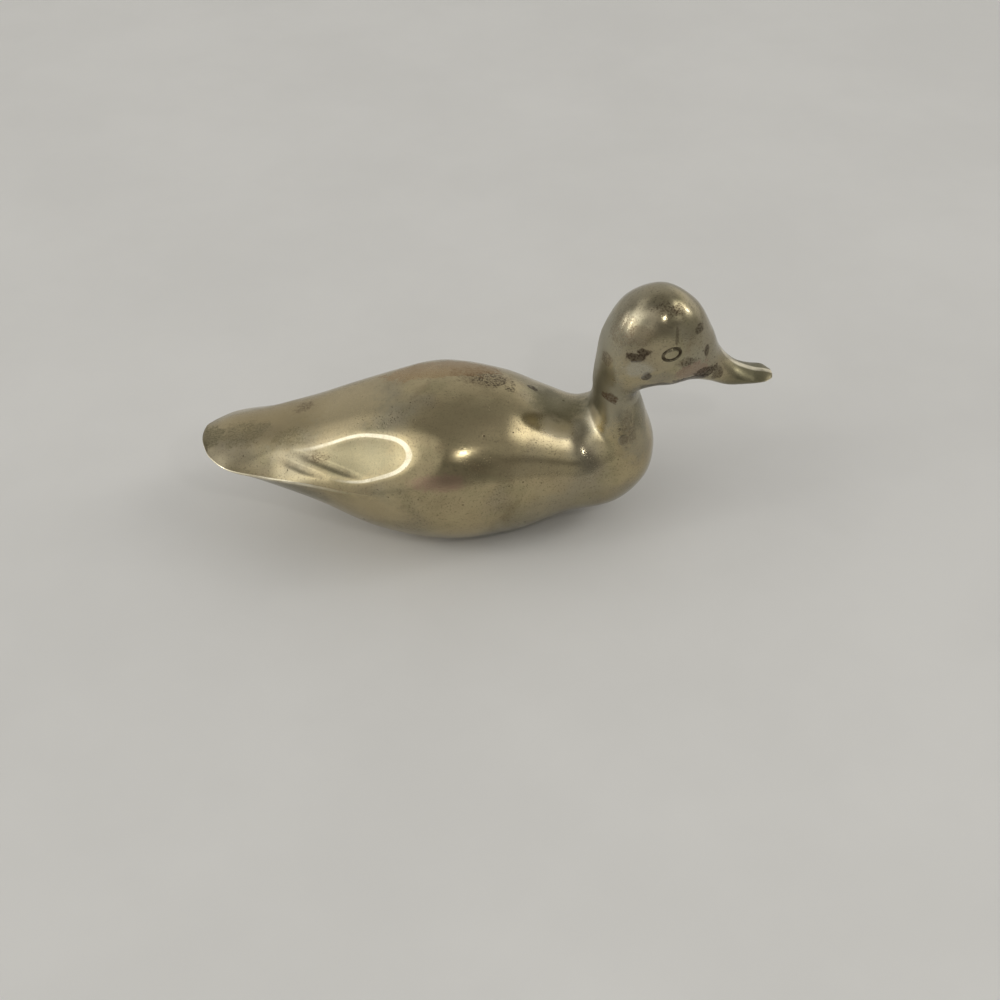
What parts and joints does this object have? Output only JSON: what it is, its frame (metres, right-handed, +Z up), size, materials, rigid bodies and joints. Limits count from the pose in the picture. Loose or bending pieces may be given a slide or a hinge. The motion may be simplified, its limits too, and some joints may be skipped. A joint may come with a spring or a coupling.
{
  "type": "duck figurine",
  "caption": "Aged brass duck ornament with a plain rounded body, upswept tail, scooped wing ends, raised head and flat foot, for standing on a shelf.",
  "frame": {"origin": "on the floor below the middle of the overall length, in the middle plane", "axes": "+X towards the bill, +Y the duck's left, +Z up"},
  "size_m": [0.2014, 0.0704, 0.0969],
  "materials": {
    "aged_brass": "worn polish with tarnish and small casting pits",
    "brazing": "dressed flush with the castings"
  },
  "bodies": {
    "root": {"right_shell": "aged_brass", "left_shell": "aged_brass", "body_seam": "brazing", "head": "aged_brass", "neck_seam": "brazing", "breast_plug": "aged_brass"}
  },
  "joints": []
}
